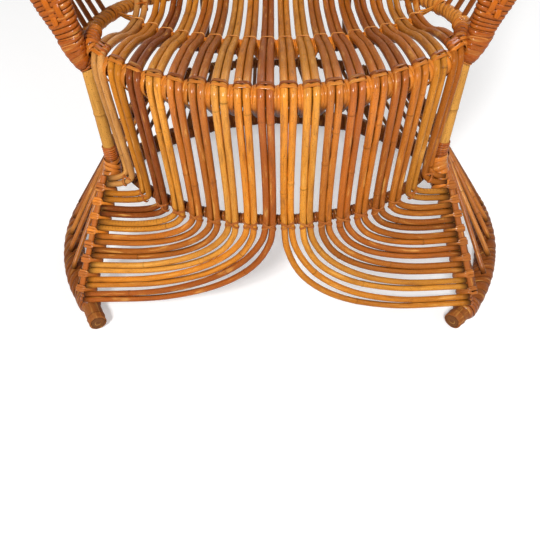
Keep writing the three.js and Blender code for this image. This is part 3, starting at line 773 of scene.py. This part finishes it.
def knee_peel(leg):
    line, knee_s, sign = leg.line, leg.knee_s, leg.sign
    skin = Skin()
    for s0, s1, radius, pitch, tint, seed, crown in (
            (knee_s - 37, knee_s - 13, 11.4, 3.9, lin(184, 92, 30), 6.1, 0.8),
            (knee_s - 14, knee_s + 18, 10.9, 4.4, lin(140, 66, 22), 6.6, 0.6),
            (line.length - 44, line.length, 11.2, 6.5, lin(156, 80, 26), 7.2, 0.8)):
        winding(skin, line, s0, s1, radius, pitch, tint, seed + sign, crown=crown, seg=20, vary=0.14)
    inset, thick = (0.5, 1.5) if sign < 0 else (3.5, 2.2)
    mass = Line(line.p[::3] + np.array([-sign * inset, -1.0, 0]), ref=(sign, 0, 0), smooth=False)
    for k, (s0, s1, turn, size, width) in enumerate(KNEE_STRAPS[leg.side]):
        coil(skin, mass, knee_s + s0, knee_s + s1, size, sign * 90 - turn, sign * 90 + turn, width, thick,
             lin(190, 108, 34) * (1 + 0.22 * sin(k * 2.6 + sign)), 6.9 + k + sign)
    skin.make(f"knee_peel_{leg.side}", PEEL, "peel_wrapped_pole", f"waist_binding_{leg.side}")


def leg_strip(leg):
    strip = rings(f"leg_strip_{leg.side}", 4)[:, :3]
    points = spline(strip if strip[0, 2] > strip[-1, 2] else strip[::-1], 5)
    tint = lin(174, 92, 34) if leg.sign < 0 else lin(156, 84, 34)
    skin = Skin()
    ribbon(skin, points - leg.forward * 2.3, np.tile(leg.forward, (len(points), 1)), 11.6, 4.6, tint,
           7.7 + leg.sign, smooth=False, taper=False)
    skin.make(f"leg_strip_peel_{leg.side}", LIGHT, "light_peel", f"leg_strip_{leg.side}")


def tie_section(sign):
    """The outline of a tie round the leg's pole and strip, seen along the leg."""
    bulge = 1.6 if sign < 0 else 0.4
    strip = [(3.6, 14.6), (15.2 + bulge, 14.5), (16.4 + bulge, 9.4), (14 + bulge, 4)]
    return closed(hull(disc(-1, 0, 11.7, 24) + strip), LOOP_POINTS)


def leg_ties(leg):
    """Three turns between each two pairs, which hold the strip and fan out over it."""
    side, sign, knee, down, forward = leg.side, leg.sign, leg.knee, leg.down, leg.forward
    section = tie_section(sign)
    away = unit(section - section.mean(0))
    sideways = unit(np.array([sign, 0, 0]) - down * (sign * down[0]))
    outer = np.clip((section[:, 0] - 1) / 7, 0, 1)
    outer = (outer * outer * (3 - 2 * outer))[:, None]
    wide = 4.9 if sign < 0 else 5.0
    ends = [[(cane.p[0] - knee) @ down for cane in canes[side, pair]] for pair in range(PAIRS)]
    skin = Skin()
    for k, (above, below) in enumerate(zip(ends, ends[1:])):
        low, high = above[1] + 5.2, below[0] - 5.2
        middle, room = (low + high) / 2, np.clip(high - low, 5.4, 9)
        tint = lin(164, 92, 32)
        if sign < 0:
            tint = lin(216, 124, 34) if k in (1, 2, 3) else lin(176, 96, 32)
        local = np.random.default_rng(70 + k + (20 if sign > 0 else 0))
        for j, order in ((-1, 0), (1, 1), (0, 2)):
            along = j * (room * 0.27 * (1 - outer) + wide * outer) + local.uniform(-1.2, 1.2) * outer
            along = along + 1.1 * np.sin(np.linspace(0, 2 * pi, LOOP_POINTS) + j)[:, None]
            loop = section + away * (0.55 * order)
            points = knee + down * (middle + along) + loop[:, :1] * sideways + loop[:, 1:] * forward
            facing = away[:, :1] * sideways + away[:, 1:] * forward
            width = local.uniform(5.0, 6.4)
            ribbon(skin, points[::-sign], facing[::-sign], width, 1.4, tint * (1 + local.uniform(-0.2, 0.2)),
                   8.3 + k + j * 0.3, smooth=False, taper=False)
    skin.make(f"leg_ties_{side}", PEEL, "peel_wrapped_pole")


for leg in map(Leg, SIDES):
    leg_pole(leg)
    knee_peel(leg)
    leg_strip(leg)
    leg_ties(leg)

# Rim, bars and hoops


def wound(name, node, sides, radius, pitch, tint, seed, **looks):
    """A pole of the CAD as a dark core with one peel wound round it. Returns its line."""
    line = Line(ordered(node, sides))
    skin = Skin()
    tube(skin, line, radius - 0.6, tint * 0.45, seed, sides=14)
    winding(skin, line, 0.5, line.length - 0.5, radius, pitch, tint, seed, **looks)
    skin.make(name, PEEL, "peel_wrapped_pole", node)
    return line


rim = wound("front_rim_peel", "front_rim", 8, 11.1, 4.6, lin(214, 112, 28), 9.1, seg=18, vary=0.16)
bar = wound("waist_bar_peel", "waist_bar", 8, 8.2, 4.6, lin(136, 70, 24), 9.7, crown=0.6, vary=0.3)
# The cross pole's dark tint is painted shade under the seat canes.
cross = wound("seat_cross_pole_peel", "seat_cross_pole", 6, 8.3, 6.0, lin(92, 46, 16), 10.3, crown=0.6)
hoop = wound("seat_hoop_peel", "seat_hoop", 8, 9.7, 15.0, lin(226, 146, 56), 10.9, crown=2.1, seg=22,
             vary=0.16, jitter=0.2, lean=5, waver=0.03)

# Waist hoop and skirt

HALF_PLAN = [(0.95, 0), (0.997, 0.18), (1, 0.39), (0.94, 0.62), (0.75, 0.83), (0.4, 0.96), (0, 1)]
HOOP_SETBACK = 16
SKIRT_TINTS = [lin(176, 102, 36), lin(190, 116, 44), lin(104, 52, 18), lin(182, 104, 34), lin(150, 80, 26)]


def waist_line():
    deep = HOOP_REAR - POST_Y
    right = [(x * HOOP_HALF_WIDTH, POST_Y + y * deep, WAIST_HOOP_HEIGHT) for x, y in HALF_PLAN]
    return Line(np.array(right + [(-x, y, z) for x, y, z in right[-2::-1]], float) + SHIFT)


def waist_hoop():
    start, end = HOOP_SETBACK, waist.length - HOOP_SETBACK
    skin = Skin()
    # Core and peel get dark tints: painted shade under the seat.
    tube(skin, waist, 7.4, lin(60, 28, 10), 11.3, sides=14, span=(start, end))
    winding(skin, waist, start, end, 8.2, 6.5, lin(88, 44, 16), 11.3, crown=0.75, vary=0.2)
    skin.make("waist_hoop_peel", DARK, "peel_wrapped_pole")


def waist_station(share):
    start, run = SKIRT_ON_HOOP
    return waist.length * (start + run * share)


def on_ring(share, outset=0.0):
    """A point of the floor ring's heart at a share of the run that carries the skirt."""
    start, run = SKIRT_ON_RING
    point = between(wrap_stations, (start + run * share) * (len(wrap_stations) - 1))
    centre = np.array([0, RING_MIDDLE, 0]) + SHIFT
    return point + unit((point - centre) * [1, 1, 0]) * outset


def skirt_cane(skin, i, strength):
    share = (i + 0.5) / SKIRT_COUNT
    head = waist.at([waist_station(share)])[0][0]
    end = on_ring(share, SKIRT_OUTSET) + [0, 0, RING_HEIGHT + 0.6]
    towards = unit(head - end)
    end = end + [0, 0, 4.4 * hypot(towards[0], towards[1])]
    wave = unit(np.cross(towards, UP)) * 2.0 * sin(i * 2.3)
    upper, lower = (head * 2 + end) / 3 + wave, (head + end * 2) / 3 + wave * 0.6
    cane = Line(np.array([head + towards * 4, head, upper, lower, end]))
    tube(skin, cane, 4.35, SKIRT_TINTS[(i * 7 + 2) % 5] * strength, 12 + i * 0.61, sides=10,
         nodes=growth(cane.length, i * 1.7, 90, 260), mark_ends=(0.6, 0.9))


def skirt():
    """Nine canes to each pole of the waist hoop, with painted shade on those at the rear, and their lashings.
    """
    each = SKIRT_COUNT // 4
    for k, name in enumerate(("right_front", "right_rear", "left_rear", "left_front")):
        skin = Skin()
        for i in range(each * k, each * (k + 1)):
            # The rear canes are darkened to 0.42: painted shade under the seat.
            skirt_cane(skin, i, 0.42 if k in (1, 2) else 1.0)
        skin.make(f"skirt_canes_{name}", CANE, "rattan_cane", f"waist_hoop_{name}")
    skin = Skin()
    for i in range(SKIRT_COUNT):
        s = waist_station((i + 0.5) / SKIRT_COUNT)
        winding(skin, waist, s - 12, s + 12, 11.2, 5.2, lin(104, 54, 20), 13 + i * 0.7, crown=0.9, seg=14,
                vary=0.2, lean=3)
    skin.make("waist_hoop_lashings", DARK, "peel_wrapped_pole")


waist = waist_line()
waist_hoop()
skirt()

# Straps and loops of peel on the front rim

# Degrees above the level of the rim's heart, width and colour of each strap
PAIR_STRAPS = [(87, 7.4, lin(128, 60, 16)), (67, 5.6, lin(200, 116, 34))]
OUTER_STRAPS = [(128, 7.5, lin(150, 70, 18)), (109, 8.0, lin(186, 92, 22)), (88, 8.0, lin(168, 80, 18)),
                (67, 6.5, lin(206, 112, 26))]


def rim_level(s):
    p, t, _, _ = (x[0] for x in rim.at([s]))
    level = unit(np.cross(t, UP))
    return p, t, level if level[1] < 0 else -level


def round_rim(line, degrees):
    """The point of a cane at an angle above the rim's level, and its place on the rim."""
    gaps = norm(rim.p - line.p[:, None], axis=2)
    close = gaps.min(1) < 24
    near, m = line.p[close], gaps[close].argmin(1)
    level = unit(np.cross(rim.t[m], UP))
    level = level * -np.sign(level[:, 1:2])
    arm = near - rim.p[m]
    k = np.abs(np.degrees(np.arctan2(arm[:, 2], (arm * level).sum(1))) - degrees).argmin()
    return near[k], rim.s[m[k]], rim.p[m[k]]


def rim_strap(skin, side, pair, degrees, width, tint):
    seed = pair + (20 if side == "right" else 3)
    aim = degrees + 2 * sin(seed * 5)
    (pa, sa, qa), (pb, sb, qb) = (round_rim(line, aim) for line in canes[side, pair])
    outward = unit((pa + pb - qa - qb) / 2)
    across = unit(pa - pb)
    across = across if across[0] > 0 else -across
    outward = unit(outward - across * (outward @ across))
    centre, half = (pa + pb) / 2, norm(pa - pb) / 2
    points, normals = over(centre, across, np.cross(across, outward), outward, half,
                           5.4 + (0.3 if width > 7 else 0), 0.1 * sin(seed * 3), 1.9)
    if pair == 0:
        # The outermost straps run on, down to the arm
        sign = SIDES[side]
        to_arm = sign * across
        steps = ((5.5, 3.5), (10, -1), (15, -5), (21, -10))
        tail = [centre + to_arm * (half + x) + outward * z for x, z in steps]
        faces = [unit(to_arm * x + outward) for x in (0.6, 0.7, 0.6, 0.6)]
        points = np.vstack([points[::sign][:9], tail])[::sign]
        normals = np.vstack([normals[::sign][:9], faces])[::sign]
    ribbon(skin, points, normals, width, 1.0, tint * (1 + 0.12 * sin(seed * 7)), seed + degrees)
    return (sa + sb) / 2, half


def rim_straps():
    """Returns the places of the pairs along the rim, in order."""
    skin = Skin()
    places = []
    for side, pair in PAIR_LIST:
        straps = PAIR_STRAPS if pair else OUTER_STRAPS
        places.append([rim_strap(skin, side, pair, *strap) for strap in straps][-1])
    skin.make("front_rim_straps", PEEL, "light_peel")
    return sorted(places)


def rim_loops(places):
    """Loose turns round the rim between each two pairs, which hang down behind them."""
    oval = closed(hull(disc(1, 1, 15, 30) + disc(-7, -22, 5, 20)), 40)
    drop = np.clip((4 - oval[:, 1]) / 26, 0, 1)[:, None]
    face = unit(oval - oval.mean(0))
    skin = Skin()
    for k, ((a, one), (b, two)) in enumerate(zip(places, places[1:])):
        low, high = a + one + 4.2, b - two - 4.2
        if high - low < 4:
            continue
        local = np.random.default_rng(240 + k)
        turns = 3 if high - low > 17 else 2
        lean = local.uniform(-2.5, 2.5)
        for j in range(turns):
            place = low + (high - low) * (j + 0.5) / turns
            p, t, level = rim_level(place)
            aside = (place - (low + high) / 2) * (-0.55 * drop) + lean * drop
            loop = oval * (1 + 0.03 * ((j * 2) % 3)) + [0, local.uniform(-1.5, 1)] * drop
            points = p + loop[:, :1] * level + loop[:, 1:] * UP + aside * t
            tint = lin(212, 124, 36) * (1 + local.uniform(-0.22, 0.12))
            facing = face[:, :1] * level + face[:, 1:] * UP
            # The lower part of each loop, which hangs behind the rim, is darkened with painted shade.
            ribbon(skin, points, facing, (high - low) / turns + 1.6, 1.8, tint, 24 + k + j * 0.3,
                   smooth=False, taper=False, painted_shade=0.85 * drop ** 1.3)
    skin.make("front_rim_loops", PEEL, "light_peel")


rim_loops(rim_straps())
ties("waist_ties", bar, 5.2, lin(166, 90, 34), 30, lambda p: (p[:, 2] < 290) & (p[:, 2] > 120), 0.6, 4.0)
ties("seat_hoop_ties", hoop, 5.6, lin(190, 104, 34), 50, lambda p: (p[:, 2] < 480) & (p[:, 1] > -150), 0.5,
     3.4)

# Peel across the seat


def on_seat(p):
    return (p[:, 2] < 425) & (p[:, 1] > -300) & (p[:, 1] < 120)


def seat_weave():
    """Returns the places of the pairs along the cross pole, in order."""
    skin = Skin()
    marks = []
    for side, pair in PAIR_LIST:
        centre, *spot = meeting(canes[side, pair], cross, on_seat)
        marks.append(cross.s[cross.nearest(centre)])
        behind = centre - spot[1] * 2.8
        ribbon(skin, *over(centre, *spot, 5.75, 0.05, 2.0), 3.8, 1.0, lin(240, 172, 92), pair + 70.5)
        ribbon(skin, *over(behind, *spot, 5.7, -0.16, 2.2), 2.4, 0.9, lin(190, 106, 40), pair + 75.5)
    skin.make("seat_weave_peel", LIGHT, "light_peel", "seat_weave_strip")
    return sorted(marks)


def seat_wedges(marks):
    skin = Skin()
    for k, (a, b) in enumerate(zip(marks, marks[1:])):
        middle = (a + b) / 2
        for j, (width, size) in enumerate(((15, 9.8), (12, 12), (9.4, 14), (7.6, 15.6))):
            winding(skin, cross, middle - width / 2, middle + width / 2, size, 3.0, lin(238, 136, 34),
                    80 + k + j * 0.2, crown=0.6, seg=14, lean=1.2)
    skin.make("seat_weave_wedges", PEEL, "light_peel")


def hoop_lashing(side, sign):
    skin = Skin()
    for k, (s0, s1, lean) in enumerate(((4, 62, 8), (10, 50, -8), (16, 42, 9))):
        low, high = (s0, s1) if sign < 0 else (hoop.length - s1, hoop.length - s0)
        winding(skin, hoop, low, high, 12.2 + 0.9 * k, 9.5, lin(200, 118, 40) * (1 - 0.12 * k), 29 + k + sign,
                crown=1.2, seg=22, lean=lean, vary=0.15)
    knot = Line(placed(side, [(266, 172, 421), (272, 190, 427), (277, 214, 431), (278, 240, 430)]))
    winding(skin, knot, 0, knot.length, 9.5, 9.0, lin(206, 118, 36), 37 + sign, crown=1.8, seg=20, lean=4,
            vary=0.18)
    winding(skin, knot, 14, 46, 11.6, 8.0, lin(180, 92, 24), 39 + sign, crown=1.4, seg=20, lean=-8, vary=0.18)
    skin.make(f"seat_hoop_lashing_{side}", PEEL, "peel_wrapped_pole")


def weave_end(side, sign):
    skin = Skin()
    outer = canes[side, 0][0]
    start = outer.p[outer.nearest(cross.p[0] if sign < 0 else cross.p[-1])] + [0, 0, 5.8]
    m = norm(hoop.p - start - np.array([sign * 42, -22, 10]), axis=1).argmin()
    goal = hoop.p[m] + [-sign * 4, 0, 10.5]
    u = np.linspace(0, 1, 7)[:, None]
    for k, (drop, width) in enumerate(((0, 4.0), (5, 6.0), (10, 5.0))):
        points = start * (1 - u) + goal * u - UP * (np.sin(u * pi) * 4 + drop * (1 - u))
        ribbon(skin, points, np.tile([0, -0.5, 0.86], (7, 1)), width, 1.0, lin(222, 140, 52) * (1 - 0.15 * k),
               33 + k + sign)
    winding(skin, hoop, hoop.s[m] - 6, hoop.s[m] + 6, 11.9, 4, lin(220, 130, 44), 35 + sign, seg=20)
    skin.make(f"seat_weave_end_{side}", LIGHT, "light_peel")


seat_wedges(seat_weave())
for side, sign in SIDES.items():
    hoop_lashing(side, sign)
    weave_end(side, sign)

# Fan back

for level in ("lower", "upper"):
    brace = wound(f"back_hoop_peel_{level}", f"back_hoop_{level}", 6, 7.3, 5.2, lin(160, 82, 26), 14.1,
                  crown=0.55)
    ties(f"back_hoop_ties_{level}", brace, 5.2, lin(196, 108, 36), 80, lambda p: p[:, 2] > 480, 0.6, 3.2)

rim_rings = ordered("back_rim", 8)[:, :3]


def fan_rim():
    lean = FAN_LEAN_SHARE * (FAN_CENTRE_HEIGHT - RIM_HEIGHT)
    heart = np.array([0, HOOP_REAR + FAN_REAR_MARGIN + lean, FAN_CENTRE_HEIGHT]) + SHIFT
    fan = Line(rim_rings, ref=lambda p: p - heart)
    skin = Skin()
    winding(skin, fan, 0.5, fan.length - 0.5, (23.2, 13.2), 8.5, lin(204, 108, 30), 15.3, seg=24, power=0.8,
            vary=0.14)
    skin.make("back_rim_peel", PEEL, "peel_wrapped_pole", "back_rim")


fan_rim()

# Arms


def arm_path(side):
    end, before = rim_rings[[0, 1]] if side == "left" else rim_rings[[-1, -2]]
    run = unit(end - before)
    head = placed(side, POST_HEADS[side])
    bent = [head + (end - head) * np.array(k) for k in ARM_SHARES]
    return [head + [0, 0, 4], *bent, end + run * ARM_TURN, end + run * 0.3]


def band(line, wider, thick):
    return lambda s: (line.more(s) + wider, thick + 0 * s)


def arm_peel(side, sign, line, rows):
    skin = Skin()
    winding(skin, line, 0.5, line.length - 0.5, band(line, -0.9, 11.2), rows, lin(176, 86, 12), 16.4 + sign,
            seg=28, power=0.78, run=3, jitter=0.25, waver=0.08, lean=1.5)
    for k, (s0, s1, turn) in enumerate(((6, 30, 1), (10, 40, -1), (16, 48, 1))):
        winding(skin, line, s0, s1, band(line, 0.4, 12.4), 8.5, lin(172, 82, 14), 17.4 + k, seg=28, power=0.8,
                lean=7 * turn, start=0.4 * k)
    skin.make(f"arm_peel_{side}", PEEL, "peel_wrapped_pole", f"arm_band_{side}")


def arm_warp(side, sign, line, rows):
    """Two strips on each face of the band, over and under the turns of its peel."""
    skin = Skin()
    s = np.arange(70, line.length - 20, 3.0)
    p, t, n, b = line.at(s)
    for face in (-1, 1):
        for lane in (-1, 1):
            phase = 0 if lane > 0 else pi
            wave = np.clip(np.sin(2 * pi * s / (rows * 4) + phase) * 2.4, -1, 1)
            points = p + face * b * (11.3 + 1.2 * wave)[:, None]
            points = points + n * (6.0 * lane + 0.6 * np.sin(s / 50))[:, None]
            ribbon(skin, points, face * b, 9.4, 1.0, lin(190, 96, 16), 17.5 + face + sign + lane * 0.3,
                   smooth=False)
    skin.make(f"arm_warp_{side}", LIGHT, "light_peel")


def arm_infill(side, path):
    rail = hoop_rings[::-1] if side == "right" else hoop_rings
    skin = Skin()
    for i in range(INFILL_COUNT):
        share = i / (INFILL_COUNT - 1)
        top = between(path, (0.36 + 0.4 * share) * (len(path) - 1))
        foot = between(rail, (0.02 + 0.17 * share) * (len(rail) - 1))
        cane = Line(np.array([top, (top * 2 + foot) / 3, (top + foot * 2) / 3, foot]))
        tube(skin, cane, 4.5, lin(146, 78, 28) * (1 + 0.2 * sin(i * 4.1)), 18 + i, sides=10,
             nodes=growth(cane.length, i * 2.9, 80, 200))
    skin.make(f"arm_infill_canes_{side}", CANE, "rattan_cane")


hoop_rings = ordered("seat_hoop", 8)[:, :3]
arm_halves = [ARM_HALF_WIDTH * share for share in ARM_WIDTH_SHARES] + [FAN_RIM_HALF_WIDTH]
for side, sign in SIDES.items():
    path = arm_path(side)
    line = Line(np.hstack([path, np.array(arm_halves)[:, None]]), ref=(1, 0, 0))
    rows = 6.6 if sign < 0 else 5.6
    arm_peel(side, sign, line, rows)
    arm_warp(side, sign, line, rows)
    arm_infill(side, path)

# Back posts


def back_post(side, share):
    found = rings(f"back_post_{side}", 8, top=True)[:, :3]
    base = on_ring(share)
    line = Line(np.vstack([found, base + unit(found[-1] - base) * 19]))
    skin = Skin()
    # Darker low down: painted shade under the seat.
    tube(skin, line, 9.3, lin(150, 94, 40), 19.3 + SIDES[side], sides=18, nodes=(170, 420, 640),
         fade=lambda p: np.interp(p[:, 2], [330, 480], [0.5, 1]))
    skin.make(f"back_post_pole_{side}", POLE, "rattan_pole", f"back_post_{side}")


back_post("right", BACK_POST_PLACE / SKIRT_COUNT)
back_post("left", 1 - BACK_POST_PLACE / SKIRT_COUNT)

# Floor, world, lamps and camera


def white_floor():
    """It glows more with its distance from the chair, to meet the white world without an edge."""
    corners = [(-30, -30, 0), (30, -30, 0), (30, 30, 0), (-30, 30, 0)]
    mesh = bpy.data.meshes.new("floor")
    mesh.from_pydata(corners, [], [(0, 1, 2, 3)])
    floor = bpy.data.objects.new("floor", mesh)
    scene.collection.objects.link(floor)
    pale = bpy.data.materials.new("pale_floor")
    tree = Shading(pale)
    diffuse = tree.node("ShaderNodeBsdfDiffuse", {"Color": (0.72, 0.715, 0.71, 1)})
    place = tree.node("ShaderNodeNewGeometry").outputs["Position"]
    distance = tree.node("ShaderNodeVectorMath", {0: place}, operation="LENGTH").outputs["Value"]
    strength = tree.maths("MULTIPLY", tree.ramp(distance, 2.2, 6.5, 0.4, 1.0), tree.seen_rays(0.0, 1.0))
    glow = tree.node("ShaderNodeEmission", {"Strength": strength})
    both = tree.node("ShaderNodeAddShader", {0: diffuse.outputs[0], 1: glow.outputs[0]})
    tree.node("ShaderNodeOutputMaterial", {"Surface": both.outputs[0]})
    mesh.materials.append(pale)


def white_world():
    world = bpy.data.worlds.new("studio")
    scene.world = world
    tree = Shading(world)
    sky = tree.node("ShaderNodeBackground", {"Color": (1, 1, 1, 1), "Strength": tree.seen_rays(0.17, 1.0)})
    tree.node("ShaderNodeOutputWorld", {"Surface": sky.outputs[0]})


def stand(name, data, right, up, back, place):
    thing = bpy.data.objects.new(name, data)
    rows = zip(np.stack([right, up, back], 1), place)
    thing.matrix_world = Matrix([[*row, at] for row, at in rows] + [[0, 0, 0, 1]])
    scene.collection.objects.link(thing)
    return thing


def area(name, place, size, watts):
    lamp = bpy.data.lights.new(name, "AREA")
    lamp.shape = "DISK"
    lamp.size = size
    lamp.energy = watts
    back = unit(np.array(place, float) - np.array([0, 0, 0.35]))
    right = unit(np.cross(UP, back))
    stand(name, lamp, right, np.cross(back, right), back, place)


def photo_camera():
    """The photograph's camera, as fitted to the ring, the rim and the legs."""
    eye = np.array([-0.69, -631.2 + shift, 769.7]) * MM
    right = np.array([0.99982, 0.00275, -0.01876])
    up = np.array([0.01139, 0.70397, 0.71014])
    lens = bpy.data.cameras.new("camera")
    lens.sensor_width = 36
    lens.lens = 560 / 540 * 36  # a focal length of 560 pixels in a picture 540 wide
    scene.camera = stand("camera", lens, right, up, np.cross(right, up), eye)


white_floor()
white_world()
area("key", (-1.2, -5.4, 5.2), 1.4, 540)
area("fill", (2.2, -1.6, 2.4), 1.0, 19)
area("rear", (1.8, 5.0, 3.6), 1.6, 60)
photo_camera()
scene.view_settings.view_transform = "Standard"
